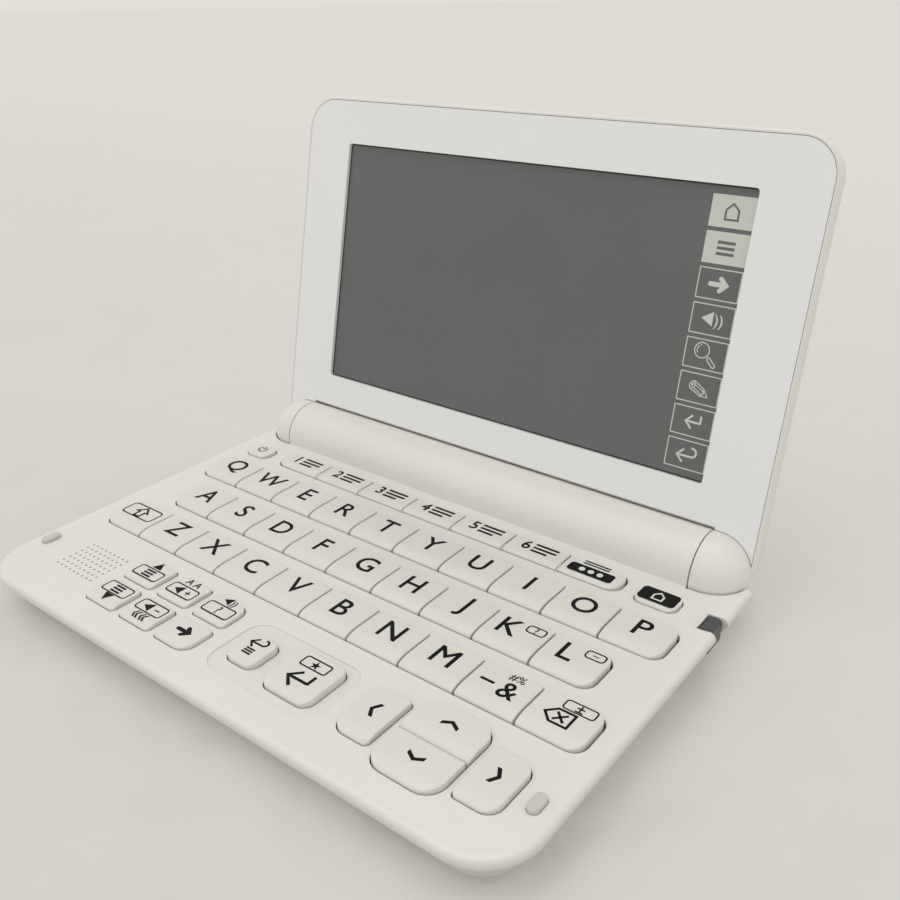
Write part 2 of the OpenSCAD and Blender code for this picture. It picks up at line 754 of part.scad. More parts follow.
module hinge_pins() {
    color(steel) in_lid() both_sides()
        rod(barrel_half - bush_len, knuckle_in + 5.6, pin_r);
}

module earphone_jack() {
    color(charcoal) in_place() difference() {
        union() {
            span([-socket_back, jack_y - jack_body[0] / 2, jack_z - jack_body[1] / 2],
                [-socket_back + jack_len, jack_y + jack_body[0] / 2, jack_z + jack_body[1] / 2]);
            rod(-socket_face, -socket_back + 1, collar_r, jack_y, jack_z);
        }
        rod(-socket_face - 1, -socket_back + jack_len - 0.8, jack_r, jack_y, jack_z);
    }
}

module usb_socket() {
    color(steel) in_place() difference() {
        span([-socket_face, usb_y - usb_body[0] / 2, usb_z - usb_body[2] / 2],
            [-socket_face + usb_body[1], usb_y + usb_body[0] / 2, usb_z + usb_body[2] / 2]);
        span([-socket_face - 1, usb_y - usb_body[0] / 2 + 0.4, usb_z - usb_body[2] / 2 + 0.4],
            [-socket_face + usb_body[1] - 0.6, usb_y + usb_body[0] / 2 - 0.4, usb_z + usb_body[2] / 2 - 0.4]);
    }
}

module knuckles(grow) {
    both_sides() {
        rod(knuckle_in, ball_x, barrel_r + grow);
        translate([ball_x, 0, 0]) intersection() {
            sphere(r = barrel_r + grow);
            span([-eps, -20, -20], [20, 20, 20]);
        }
    }
}

// Outline of the bezel, with the lobes that reach down beside the barrel
module bezel_outline(grow) {
    difference() {
        translate([0, bezel_lobe_end - grow])
            round_top(bezel_half + grow, bezel_len - bezel_lobe_end + 2 * grow, lid_corner_r - rim_t + grow);
        translate([-knuckle_in - grow, 0]) square([2 * (knuckle_in + grow), bezel_low - grow]);
    }
}

module lid_rear_shell() {
    color(ivory) in_lid() difference() {
        union() {
            difference() {
                mirror([0, 1, 0]) tray(lid_profile, lid_half, -lid_len, -lobe_end, lid_corner_r);
                both_sides() translate([lid_half - lobe_corner_r, lobe_end + lobe_corner_r, -20])
                    linear_extrude(20) difference() {
                        translate([0, -lobe_corner_r - 1]) square([lobe_corner_r + 1, lobe_corner_r + 1]);
                        circle(r = lobe_corner_r);
                    }
                span([-knuckle_in, -20, -20], [knuckle_in, 5.5, 0]);
                rod(-knuckle_in, knuckle_in, lid_clear_r);
                translate([0, 0, -face_back - bezel_t]) linear_extrude(5) bezel_outline(bezel_gap);
            }
            knuckles(0);
        }
        span([-glass_half - display_clear, glass_low - display_clear, -lid_back + seat_t],
            [glass_half + display_clear, glass_low + glass_h + display_clear, -face_back]);
        both_sides()
            span([glass_half + display_clear + seat_t, glass_low + 2, -lid_back + seat_t],
                [bezel_half - 1.6, bezel_len - lid_corner_r, -face_back - bezel_t + eps]);
        both_sides() rod(knuckle_in - 1, knuckle_in + 6, pin_r + 0.02);
    }
}

module lid_bezel() {
    color(pale_grey) in_lid() difference() {
        translate([0, 0, -face_back - bezel_t]) linear_extrude(bezel_t) difference() {
            bezel_outline(0);
            translate([-window_w / 2, window_low]) rounded(window_w, window_h, [0.8, 0.8, 0.8, 0.8]);
        }
        knuckles(bezel_gap);
        rod(-knuckle_in, knuckle_in, lid_clear_r);
    }
}

module display_glass() {
    color(screen_grey) in_lid()
        span([-glass_half, glass_low, -face_back - bezel_t - glass_t],
            [glass_half, glass_low + glass_h, -face_back - bezel_t]);
}

module display_panel() {
    top = -face_back - bezel_t - glass_t;
    color(steel) in_lid() {
        span([-glass_half + 0.6, glass_low + 0.6, top - panel_t],
            [glass_half - 0.6, glass_low + glass_h - 0.6, top]);
    }
}

// A slim pen with a taller head that stands in the notch
module stylus() {
    color(charcoal) in_place() {
        translate([stylus_x, stylus_end - 1, stylus_z]) rotate([90, 0, 0])
            cylinder(r = stylus_r, h = stylus_len - 4.5);
        translate([stylus_x, stylus_end - stylus_len + 3.5, stylus_z]) rotate([90, 0, 0])
            cylinder(r1 = stylus_r, r2 = 0.5, h = 3.5);
        translate([stylus_x - head_w / 2 + 0.8, stylus_end - head_len, stylus_z - stylus_r])
            rotate([90, 0, 0]) mirror([0, 0, 1])
                linear_extrude(head_len)
                    rounded(head_w, head_top - stylus_z + stylus_r, [1.2, 1.2, 0.8, 0.5]);
    }
}

// One key: a cap whose top slopes down at the front, two tabs that keep it
// under the deck, and a stem over its dome
module key_cap(k) {
    w = k[3];
    d = k[4];
    rise = k[6];
    run = min(slope_run, d * 0.3);
    color(key_white) in_place() translate([k[1], k[2], 0]) {
        intersection() {
            translate([0, 0, -key_sink]) linear_extrude(key_sink + rise + 1) rounded(w, d, k[5]);
            rotate([90, 0, 90]) linear_extrude(w)
                polygon([[0, -key_sink], [0, 0.2 * rise], [0.15 * run, 0.52 * rise], [0.4 * run, 0.76 * rise],
                    [0.7 * run, 0.92 * rise], [run, rise], [d - 0.4, rise], [d, rise - 0.25], [d, -key_sink]]);
        }
        if (k[0] == "key_up" || k[0] == "key_down")
            span([-key_clear - tab_reach, d * 0.25, -key_sink],
                [w + key_clear + tab_reach, d * 0.75, -key_sink + tab_t]);
        else
            span([w * 0.25, -key_clear - tab_reach, -key_sink],
                [w * 0.75, d + key_clear + tab_reach, -key_sink + tab_t]);
        translate([w / 2, d / 2, -key_sink - stem_len]) cylinder(r = stem_r, h = stem_len + 0.5);
    }
}

base_top_case();
base_bottom_case();
battery_door();
battery_cells();
battery_contacts();
main_board();
key_membrane();
speaker();
rubber_feet();
case_screws();
deck_bumpers();
hinge_bushes();
hinge_pins();
earphone_jack();
usb_socket();
lid_rear_shell();
lid_bezel();
display_glass();
display_panel();
stylus();
for (k = KEYS) key_cap(k);
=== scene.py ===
import bpy
import math
from mathutils import Matrix, Vector


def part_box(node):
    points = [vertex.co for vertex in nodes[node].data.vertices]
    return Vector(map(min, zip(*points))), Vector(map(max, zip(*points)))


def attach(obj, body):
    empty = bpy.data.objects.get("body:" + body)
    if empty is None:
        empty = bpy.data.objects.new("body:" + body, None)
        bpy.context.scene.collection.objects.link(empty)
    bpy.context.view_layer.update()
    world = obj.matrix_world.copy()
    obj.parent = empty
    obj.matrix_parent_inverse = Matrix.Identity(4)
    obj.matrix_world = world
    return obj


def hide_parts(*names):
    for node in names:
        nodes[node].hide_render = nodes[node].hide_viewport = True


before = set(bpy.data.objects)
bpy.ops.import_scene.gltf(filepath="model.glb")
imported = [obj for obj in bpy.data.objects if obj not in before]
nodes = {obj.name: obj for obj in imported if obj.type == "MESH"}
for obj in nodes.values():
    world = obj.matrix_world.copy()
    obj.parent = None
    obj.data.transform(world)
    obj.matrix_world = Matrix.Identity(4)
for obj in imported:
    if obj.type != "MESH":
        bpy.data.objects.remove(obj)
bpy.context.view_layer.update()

# Table and light: the dictionary stands on a sheet of pale cloth under soft, even daylight from
# above. Lengths are metres and MM turns them from millimetres. Neither is part of the object.
MM = 0.001
scene = bpy.context.scene
scene.view_settings.view_transform = "Standard"


def ink_colour(code):
    """An sRGB hex value as the linear colour that a shader socket takes."""
    parts = [int(code[i:i + 2], 16) / 255 for i in (1, 3, 5)]
    return [c / 12.92 if c <= 0.04045 else ((c + 0.055) / 1.055) ** 2.4 for c in parts] + [1]


def add_node(tree, kind, inputs=(), **settings):
    """One shader node. Each input is given by name or number, as a value or another node's output."""
    node = tree.nodes.new(kind)
    for key, value in settings.items():
        setattr(node, key, value)
    for key, value in dict(inputs).items():
        if isinstance(value, bpy.types.NodeSocket):
            tree.links.new(value, node.inputs[key])
        else:
            node.inputs[key].default_value = value
    return node


def new_finish(name):
    """An empty material, and its object coordinates."""
    made = bpy.data.materials.new(name)
    made.use_nodes = True
    made.node_tree.nodes.clear()
    return made, add_node(made.node_tree, "ShaderNodeTexCoord").outputs["Object"]


# Bleached cotton sheet: matt, with faint cloudy shade, soft creases about 45 mm apart and a weave
# drawn at 1.2 mm, coarser than the real thread, so that it shows. A fall of light is painted into it:
# it is paler towards the back, from SHEET_NEAR to SHEET_FAR in mm.
CLOUD, CREASE, CREASE_DEEP, THREAD, NAP_DEEP = 90, 45, 8, 1.2, 0.1
SHEET_NEAR, SHEET_FAR = -120, 600
cloth, place = new_finish("bleached_cotton_sheet")
tree = cloth.node_tree
clouds = add_node(tree, "ShaderNodeTexNoise", {"Vector": place, "Scale": 1 / (CLOUD * MM), "Detail": 3})
along = add_node(tree, "ShaderNodeSeparateXYZ", {0: place})
# Painted light: the sheet's colour grows paler from front to back
back = add_node(tree, "ShaderNodeMapRange", {"Value": along.outputs["Y"], "From Min": SHEET_NEAR * MM,
                                             "From Max": SHEET_FAR * MM})
near = add_node(tree, "ShaderNodeMix", {0: clouds.outputs["Fac"], 6: ink_colour("#D2CFC9"),
                                        7: ink_colour("#D9D6D0")}, data_type="RGBA")
tint = add_node(tree, "ShaderNodeMix", {0: back.outputs["Result"], 6: near.outputs[2],
                                        7: ink_colour("#DFDCD5")}, data_type="RGBA")
creases = add_node(tree, "ShaderNodeTexNoise", {"Vector": place, "Scale": 1 / (CREASE * MM),
                                                "Detail": 2.5, "Distortion": 0.15})
weave = add_node(tree, "ShaderNodeTexNoise", {"Vector": place, "Scale": 1 / (THREAD * MM), "Detail": 1})
folds = add_node(tree, "ShaderNodeBump", {"Height": creases.outputs["Fac"], "Strength": 1.0,
                                          "Distance": CREASE_DEEP * MM})
nap = add_node(tree, "ShaderNodeBump", {"Height": weave.outputs["Fac"], "Strength": 0.4,
                                        "Distance": NAP_DEEP * MM, "Normal": folds.outputs["Normal"]})
shader = add_node(tree, "ShaderNodeBsdfPrincipled", {"Base Color": tint.outputs[2], "Roughness": 0.95,
                                                     "Specular IOR Level": 0.1,
                                                     "Normal": nap.outputs["Normal"]})


def seen_rays(tree, share=1.0):
    """share for what the camera, a reflection or a glass sees, and 0 for the light on the object."""
    path = add_node(tree, "ShaderNodeLightPath").outputs
    seen = add_node(tree, "ShaderNodeMath", {0: path["Is Camera Ray"], 1: path["Is Glossy Ray"]},
                    operation="MAXIMUM")
    seen = add_node(tree, "ShaderNodeMath", {0: seen.outputs[0], 1: path["Is Transmission Ray"]},
                    operation="MAXIMUM")
    return add_node(tree, "ShaderNodeMath", {0: seen.outputs[0], 1: share},
                    operation="MULTIPLY").outputs[0]


# The sheet shows a share of its own colour to the camera, so that shadows on it stay pale
SHEET_GLOW = 0.3
glow = add_node(tree, "ShaderNodeEmission", {"Color": tint.outputs[2], "Strength": 1.0})
sheet = add_node(tree, "ShaderNodeMixShader", {0: seen_rays(tree, SHEET_GLOW),
                                               1: shader.outputs["BSDF"], 2: glow.outputs[0]})
add_node(tree, "ShaderNodeOutputMaterial", {"Surface": sheet.outputs[0]})

SHEET_RADIUS = 6
bpy.ops.object.select_all(action="DESELECT")
bpy.ops.mesh.primitive_circle_add(vertices=64, radius=SHEET_RADIUS, fill_type="NGON",
                                  location=(0, 0, 0))
floor = bpy.context.object
floor.name = "table_cloth"
floor.data.materials.append(cloth)

# The room: even daylight on the object, and a pale wall where the camera or a reflection looks
# past it. A wide sun, nearly overhead and a little to the front left, gives the shadows their side.
SUN_WIDTH, SUN_RUNS = 60, (0.12, 0.2, -0.97)
room = bpy.data.worlds.new("pale_room")
scene.world = room
room.use_nodes = True
tree = room.node_tree
tree.nodes.clear()
daylight = add_node(tree, "ShaderNodeBackground", {"Color": ink_colour("#FDFDFC"), "Strength": 0.82})
wall = add_node(tree, "ShaderNodeBackground", {"Color": ink_colour("#E2DFD8"), "Strength": 1.0})
both = add_node(tree, "ShaderNodeMixShader", {0: seen_rays(tree), 1: daylight.outputs[0],
                                              2: wall.outputs[0]})
add_node(tree, "ShaderNodeOutputWorld", {"Surface": both.outputs[0]})

bpy.ops.object.light_add(type="SUN", location=(-0.3, -0.5, 1.2))
window_light = bpy.context.object
window_light.name = "window_light"
window_light.data.energy = 0.62
window_light.data.angle = math.radians(SUN_WIDTH)
window_light.rotation_euler = Vector(SUN_RUNS).to_track_quat("-Z", "Y").to_euler()

# Camera: its place in metres, its turn in degrees and its lens were solved together from the
# straight lines and corners of the deck, the keys and the lid.
CAMERA_AT, CAMERA_TURN, LENS = (0.12979, -0.142355, 0.12931), (63.9803, 0.9204, 37.7121), 38.61
bpy.ops.object.camera_add(location=CAMERA_AT, rotation=[math.radians(a) for a in CAMERA_TURN])
scene.camera = bpy.context.object
scene.camera.data.lens = LENS
scene.camera.data.sensor_width = 36
scene.camera.data.clip_start = 0.01


# Lower half of the case: an injection-moulded tray of warm white ABS with polished outer faces. It
# carries the board, the battery bay and the hinge blocks, and is screwed to the upper half from below.

# A painted shade darkens the base's low sides, growing between these heights in mm. Wear marks of
# plastic are WEAR mm wide and vary its roughness by the two steps after it.
SHADE_TOP, SHADE_LOW = 9.75, 8.5
WEAR, GLOSSIER, DULLER = 6, 0.05, 0.06
PLASTIC_IOR, COAT_ROUGH = 1.53, 0.08


def moulded(name, light, dark, roughness, mottle=18, grain=0.7, relief=0.004, coat=0.0, shine=0.5,
            low_shade=""):
    """Moulded plastic: light and dark are the two tones of its slight clouding, mottle the clouds' size
    in mm, grain the pitch of the mould's texture in mm, relief its depth in mm, coat a clear layer's
    strength, and shine the strength of its reflections, 0.5 for a common plastic. The last argument
    is the colour of a painted shade on its low sides."""
    made, place = new_finish(name)
    tree = made.node_tree
    clouds = add_node(tree, "ShaderNodeTexNoise", {"Vector": place, "Scale": 1 / (mottle * MM),
                                                   "Detail": 3})
    tint = add_node(tree, "ShaderNodeMix", {0: clouds.outputs["Fac"], 6: ink_colour(dark),
                                            7: ink_colour(light)}, data_type="RGBA")
    # Painted shade: the low sides are darker towards the bottom
    if low_shade:
        height = add_node(tree, "ShaderNodeSeparateXYZ", {0: place}).outputs["Z"]
        low = add_node(tree, "ShaderNodeMapRange", {"Value": height, "From Min": SHADE_TOP * MM,
                                                    "From Max": SHADE_LOW * MM})
        tint = add_node(tree, "ShaderNodeMix", {0: low.outputs["Result"], 6: tint.outputs[2],
                                                7: ink_colour(low_shade)}, data_type="RGBA")
    wear = add_node(tree, "ShaderNodeTexNoise", {"Vector": place, "Scale": 1 / (WEAR * MM), "Detail": 4})
    gloss = add_node(tree, "ShaderNodeMapRange", {"Value": wear.outputs["Fac"], "From Min": 0.3,
                                                  "From Max": 0.7, "To Min": roughness - GLOSSIER,
                                                  "To Max": roughness + DULLER})
    skin = add_node(tree, "ShaderNodeTexNoise", {"Vector": place, "Scale": 1 / (grain * MM),
                                                 "Detail": 1})
    bump = add_node(tree, "ShaderNodeBump", {"Height": skin.outputs["Fac"], "Strength": 0.5,
                                             "Distance": relief * MM})
    shader = add_node(tree, "ShaderNodeBsdfPrincipled", {
        "Base Color": tint.outputs[2], "Roughness": gloss.outputs["Result"], "IOR": PLASTIC_IOR,
        "Specular IOR Level": shine, "Coat Weight": coat, "Coat Roughness": COAT_ROUGH,
        "Normal": bump.outputs["Normal"]})
    add_node(tree, "ShaderNodeOutputMaterial", {"Surface": shader.outputs["BSDF"]})
    return made


# Warm white polished ABS: an even, slightly creamy gloss with soft wide highlights, and a painted
# shade that makes the low sides of the base a little greyer
ivory_abs = moulded("polished_ivory_abs", "#E4E2DB", "#E0DED6", 0.34, low_shade="#D2CFC7")


# Angles in degrees: faces closer to one plane than FLAT_WITHIN become one, edges sharper than SHARP
# are rounded, and the rest are shaded smooth
FLAT_WITHIN, SHARP = 0.4, 40


def refined(node, name, finish, width, steps=2, merge=0.002, cuts=()):
    """A merged copy of a CAD solid whose sharp edges are rounded by width mm in so many steps. Corners
    nearer than merge mm are joined first, and cuts are planes that part ring-shaped faces."""
    bpy.ops.object.select_all(action="DESELECT")
    piece = bpy.data.objects.new(name, nodes[node].data.copy())
    scene.collection.objects.link(piece)
    bpy.context.view_layer.objects.active = piece
    piece.select_set(True)
    for face in piece.data.polygons:
        face.material_index = 0
    piece.data.materials.clear()
    piece.data.materials.append(finish)
    bpy.ops.object.mode_set(mode="EDIT")
    bpy.ops.mesh.customdata_custom_splitnormals_clear()
    bpy.ops.mesh.select_all(action="SELECT")
    bpy.ops.mesh.remove_doubles(threshold=merge * MM)
    for point, normal in cuts:
        bpy.ops.mesh.select_all(action="SELECT")
        bpy.ops.mesh.bisect(plane_co=[c * MM for c in point], plane_no=normal)
        bpy.ops.mesh.mark_seam()
    bpy.ops.mesh.select_all(action="SELECT")
    bpy.ops.mesh.dissolve_limited(angle_limit=math.radians(FLAT_WITHIN), delimit={"SEAM"})
    bpy.ops.object.mode_set(mode="OBJECT")
    rounds = piece.modifiers.new("edge_rounds", "BEVEL")
    rounds.width = width * MM
    rounds.segments = steps
    rounds.limit_method = "ANGLE"
    rounds.angle_limit = math.radians(SHARP)
    rounds.use_clamp_overlap = False
    bpy.ops.object.modifier_apply(modifier=rounds.name)
    bpy.ops.object.shade_smooth_by_angle(angle=math.radians(SHARP))
    even = piece.modifiers.new("even_shading", "WEIGHTED_NORMAL")
    even.keep_sharp = True
    bpy.ops.object.modifier_apply(modifier=even.name)
    return piece


def fitted(piece, body, slot, *replaced):
    """The piece rides on its body and stands for the CAD nodes named, which are hidden; slot is not
    used.
    """
    if replaced:
        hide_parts(*replaced)
    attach(piece, body)
    return piece


# Radius in mm of the case's moulded edges, and the places in mm of the cuts across the lower half
CASE_EDGE = 0.1
LOWER_X, LOWER_Y = (-62, -40, 0, 40, 62), (-46.6, -25, 0, 18, 32)
lower_case = refined("base_bottom_case", "lower_case", ivory_abs, CASE_EDGE,
                     cuts=[((x, 0, 0), (1, 0, 0)) for x in LOWER_X]
                     + [((0, y, 0), (0, 1, 0)) for y in LOWER_Y])
fitted(lower_case, "base", "ivory_plastic", "base_bottom_case")

# Feet: four discs of moulded rubber pressed into shallow pockets of the lower half, so that the
# dictionary doesn't slide on a table.
# Matt elastomer: almost no highlight, and a dusty grey
grey_rubber = moulded("moulded_grey_rubber", "#8E8B85", "#7F7C77", 0.75, mottle=3, relief=0.02)
FOOT_EDGE = 0.15
feet = refined("rubber_feet", "case_feet", grey_rubber, FOOT_EDGE)
fitted(feet, "base", "foot_rubber", "rubber_feet")


# Case screws: four cross-head screws of zinc-plated steel, driven from below into bosses of the
# upper half, their heads sunk in the lower half.

# Tool marks in metal vary its roughness by these two steps, and are MARK_DEEP mm deep
BRIGHTER, DIMMER, MARK_DEEP = 0.07, 0.1, 0.004


def plated(name, colour, rough, streak=(4, 4, 4)):
    """Metal: colour is its tint, and streak the size in mm of the marks that its making leaves."""
    made, place = new_finish(name)
    tree = made.node_tree
    run = add_node(tree, "ShaderNodeMapping", {"Vector": place, "Scale": [1 / (s * MM) for s in streak]})
    marks = add_node(tree, "ShaderNodeTexNoise", {"Vector": run.outputs[0], "Scale": 1, "Detail": 4})
    gloss = add_node(tree, "ShaderNodeMapRange", {"Value": marks.outputs["Fac"], "From Min": 0.3,
                                                  "From Max": 0.7, "To Min": rough - BRIGHTER,
                                                  "To Max": rough + DIMMER})
    bump = add_node(tree, "ShaderNodeBump", {"Height": marks.outputs["Fac"], "Strength": 0.2,
                                             "Distance": MARK_DEEP * MM})
    shader = add_node(tree, "ShaderNodeBsdfPrincipled", {
        "Base Color": ink_colour(colour), "Metallic": 1.0, "Roughness": gloss.outputs["Result"],
        "Normal": bump.outputs["Normal"]})
    add_node(tree, "ShaderNodeOutputMaterial", {"Surface": shader.outputs["BSDF"]})
    return made


def dress(node, finish):
    """A CAD node that keeps its own shape gets its finish."""
    for holder in nodes[node].material_slots:
        holder.material = finish
    if not nodes[node].material_slots:
        nodes[node].data.materials.append(finish)


# Zinc plate over turned steel: a cool, slightly cloudy metal gloss
dress("case_screws", plated("zinc_plated_steel", "#B4B7BB", 0.3))

# Hinge: two ground stainless steel pins pressed into the lid's knuckles, turning in bushes of
# black acetal that sit in the hinge blocks of the base.
# Ground stainless steel: fine rings round the pin; acetal: a waxy, soft black sheen
dress("hinge_pins", plated("ground_stainless_steel", "#C2C4C6", 0.22, streak=(0.4, 8, 8)))
dress("hinge_bushes", moulded("black_acetal", "#2A2B2D", "#232426", 0.4))

# Power: two cells of nickel-plated steel in a plain grey sleeve, end to end, between contacts of
# nickel-plated spring steel that stand in slots of the battery bay.
# Shrunk plastic sleeve: an even satin grey; nickel plate: a bright, slightly yellow metal
dress("battery_cells", moulded("shrunk_cell_sleeve", "#6F7F8C", "#64737F", 0.3, mottle=40, coat=0.5))
dress("battery_contacts", plated("nickel_plated_spring_steel", "#C9C6BC", 0.2, streak=(6, 1, 6)))

# Main board: a glass-fibre board under green solder resist, with its chips below, screwed down by
# the case bosses. Copper tracks about 0.8 mm wide and 2 mm apart show through the resist as lighter
# lines, where the wave passes from the first of the two tones below to the second.
TRACK_SCALE = 0.16 / MM
BARE_RESIST, OVER_COPPER = (0.62, "#1F5A41"), (0.7, "#3B8460")
resist, place = new_finish("green_solder_resist")
tree = resist.node_tree
tracks = add_node(tree, "ShaderNodeTexWave", {"Vector": place, "Scale": TRACK_SCALE, "Distortion": 3,
                                              "Detail": 1, "Detail Scale": 0.3})
lines = add_node(tree, "ShaderNodeValToRGB", {"Fac": tracks.outputs["Fac"]})
for stop, (position, code) in zip(lines.color_ramp.elements, (BARE_RESIST, OVER_COPPER)):
    stop.position = position
    stop.color = ink_colour(code)
shader = add_node(tree, "ShaderNodeBsdfPrincipled", {"Base Color": lines.outputs["Color"],
                                                     "Roughness": 0.32, "Coat Weight": 0.4})
add_node(tree, "ShaderNodeOutputMaterial", {"Surface": shader.outputs["BSDF"]})
dress("main_board", resist)

# Key membrane: one sheet of moulded silicone on the board with a dome under each key, which springs
# the key back.
# Silicone: a dull dark grey, which also stands in for the shade in the gaps between the keys and makes
# them read as lines
dress("key_membrane", moulded("moulded_silicone", "#55534F", "#4B4946", 0.6, mottle=9, relief=0.01))

# Speaker: a moulded frame with a domed cone of grey paper, held under the grille. Its matt grey
# shows as the faint dots of the grille
dress("speaker", moulded("pressed_grey_cone", "#605E5A", "#56544F", 0.65, mottle=2, relief=0.02))

# Sockets on the left: the earphone socket is a black moulding with a collar, the USB socket a
# folded shell of nickel-plated steel. Both are soldered to the board.
dress("earphone_jack", moulded("black_socket_moulding", "#262729", "#1F2022", 0.45))
dress("usb_socket", plated("folded_nickel_shell", "#BDBBB4", 0.25, streak=(1, 6, 6)))

# Battery door: a curved cover of the same ABS that slides off to the rear, with grip ribs on its
# underside for the thumb. Sizes and places are in mm.
DOOR_EDGE = 0.12
RIBS, RIB_STEP, RIB_EDGE = 6, 1.5, 0.18
RIB_AT, RIB_SIZE = (0, 30.2, 0.9), (14, 0.6, 0.5)
door = refined("battery_door", "battery_cover", ivory_abs, DOOR_EDGE)
bpy.ops.object.select_all(action="DESELECT")
bpy.ops.mesh.primitive_cube_add(size=1, location=[c * MM for c in RIB_AT],
                                scale=[c * MM for c in RIB_SIZE])
rib = bpy.context.object
bpy.ops.object.transform_apply()
rib.data.materials.append(ivory_abs)
bpy.ops.object.mode_set(mode="EDIT")
bpy.ops.mesh.select_all(action="SELECT")
bpy.ops.mesh.bevel(offset=RIB_EDGE * MM, segments=2)
bpy.ops.object.mode_set(mode="OBJECT")
bpy.ops.object.shade_smooth_by_angle(angle=math.radians(SHARP))
ribs = [rib]
for step in range(1, RIBS):
    more = bpy.data.objects.new("grip_rib", rib.data.copy())
    scene.collection.objects.link(more)
    more.data.transform(Matrix.Translation((0, step * RIB_STEP * MM, 0)))
    ribs.append(more)
for one in ribs + [door]:
    one.select_set(True)
bpy.context.view_layer.objects.active = door
bpy.ops.object.join()
fitted(door, "door", "ivory_plastic", "battery_door")

# Upper half of the case: the deck with its key openings, the barrel over the cells and the speaker
# grille, one moulding of the same warm white ABS. Its edges are softly rounded by the mould.
# Places in mm of the cuts that part its ring-shaped faces
UPPER_X = (-64, -38.5, -17, 0, 25, 60)
upper_case = refined("base_top_case", "upper_case", ivory_abs, CASE_EDGE,
                     cuts=[((x, 0, 0), (1, 0, 0)) for x in UPPER_X])
fitted(upper_case, "base", "ivory_plastic", "base_top_case")

# Bumpers: two oval studs of soft grey elastomer pressed into the deck, on which the shut lid rests.
# Satin elastomer: a pale grey with a soft edge and no sparkle
STUD_EDGE = 0.3
stud_rubber = moulded("satin_grey_elastomer", "#CBC8C1", "#C4C1BA", 0.6, mottle=3, relief=0.01)
fitted(refined("deck_bumpers", "lid_bumpers", stud_rubber, STUD_EDGE, steps=3), "base",
       "bumper_rubber", "deck_bumpers")

# Stylus: a moulded charcoal pen in a groove at the right, seen by its flat head in the notch.
# Charcoal ABS: a dark satin with a soft highlight along its edges
charcoal_abs = moulded("satin_charcoal_abs", "#434446", "#3B3C3E", 0.36)
PEN_EDGE = 0.07
fitted(refined("stylus", "stylus_pen", charcoal_abs, PEN_EDGE), "pen", "stylus_plastic", "stylus")

# Keys: moulded caps of greyish white ABS, each with a sloped front, in openings of the deck. They
# rest on the membrane, and their signs are pad-printed on the flat top in black ink.
# Key ABS: a shade greyer than the case, with the fine satin of an eroded mould
key_abs = moulded("satin_key_abs", "#E0DDD5", "#DAD7CF", 0.42, mottle=12, grain=0.6, relief=0.006)
# Pad-print ink: dense black with a low gloss; label ink: the same in white on a black patch
black_ink = moulded("black_pad_ink", "#0A0A0C", "#0F0F11", 0.55, mottle=2, relief=0.001, shine=0.15)
white_ink = moulded("white_pad_ink", "#E4E2DC", "#DAD8D2", 0.45, mottle=2, relief=0.001)
# Thickness of a film of ink, and how far a cap's hidden tabs reach beyond what shows, in mm
INK_T = 0.016
TAB = 0.85
FLAT = Matrix.Identity(4)


def laid(sign, at, turn, plane, ink):
    """Puts a flat sign that was made at the origin at its place, in mm, in the plane of its surface."""
    sign.data.materials.clear()
    sign.data.materials.append(ink)
    sign.data.transform(plane @ Matrix.Translation([c * MM for c in at])
                        @ Matrix.Rotation(math.radians(turn), 4, "Z"))
    return sign


def printed(body, size, at, ink, turn=0, plane=FLAT, bold=0.03):
    """A sign of the font as a closed film of ink, its middle at a place in mm and its strokes bold mm
    wider all round."""
    bpy.ops.object.select_all(action="DESELECT")
    bpy.ops.object.text_add(location=(0, 0, 0))
    sign = bpy.context.object
    sign.data.body = body
    sign.data.size = size * MM
    sign.data.bevel_depth = bold * MM
    sign.data.bevel_resolution = 0
    sign.data.extrude = INK_T * MM / 2
    sign.data.resolution_u = 4
    bpy.ops.object.convert(target="MESH")
    sign = bpy.context.object
    xs = [v.co.x for v in sign.data.vertices]
    ys = [v.co.y for v in sign.data.vertices]
    sign.data.transform(Matrix.Translation((-(min(xs) + max(xs)) / 2, -(min(ys) + max(ys)) / 2, 0)))
    return laid(sign, at, turn, plane, ink)


def patch(w, d, radius, at, ink, line=0.0, plane=FLAT):
    """A round-cornered label w by d mm, or only its outline where line is given."""
    bpy.ops.object.select_all(action="DESELECT")
    bpy.ops.mesh.primitive_plane_add(size=1, location=(0, 0, 0))
    sign = bpy.context.object
    sign.data.transform(Matrix.Diagonal((w * MM, d * MM, 1, 1)))
    bpy.ops.object.mode_set(mode="EDIT")
    bpy.ops.mesh.select_all(action="SELECT")
    bpy.ops.mesh.bevel(offset=radius * MM, segments=5, affect="VERTICES")
    if line:
        bpy.ops.mesh.select_all(action="SELECT")
        bpy.ops.mesh.inset(thickness=line * MM)
        bpy.ops.mesh.delete(type="FACE")
    bpy.ops.object.mode_set(mode="OBJECT")
    film = sign.modifiers.new("film", "SOLIDIFY")
    film.thickness = INK_T * MM
    film.offset = 0
    bpy.ops.object.modifier_apply(modifier=film.name)
    return laid(sign, at, 0, plane, ink)


def joined(piece, signs):
    """The signs become part of the piece that they are printed on."""
    bpy.ops.object.select_all(action="DESELECT")
    for sign in signs:
        sign.select_set(True)
    piece.select_set(True)
    bpy.context.view_layer.objects.active = piece
    bpy.ops.object.join()
    return piece


def cap_place(node, side_tabs=False):
    """Left, front and top of a cap, and its width and depth, in mm, without its hidden tabs."""
    low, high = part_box(node)
    side, end = (TAB, 0) if side_tabs else (0, TAB)
    left, front = low[0] / MM + side, low[1] / MM + end
    return left, front, high[2] / MM, high[0] / MM - side - left, high[1] / MM - end - front


def key_cap(node, name, edge, signs):
    """One key, or one strip of keys: its caps with edges rounded by edge mm, and its printed signs."""
    cap = refined(node, name, key_abs, edge, steps=3, merge=0.07)
    fitted(joined(cap, signs), "press_" + node, "key_plastic", node)


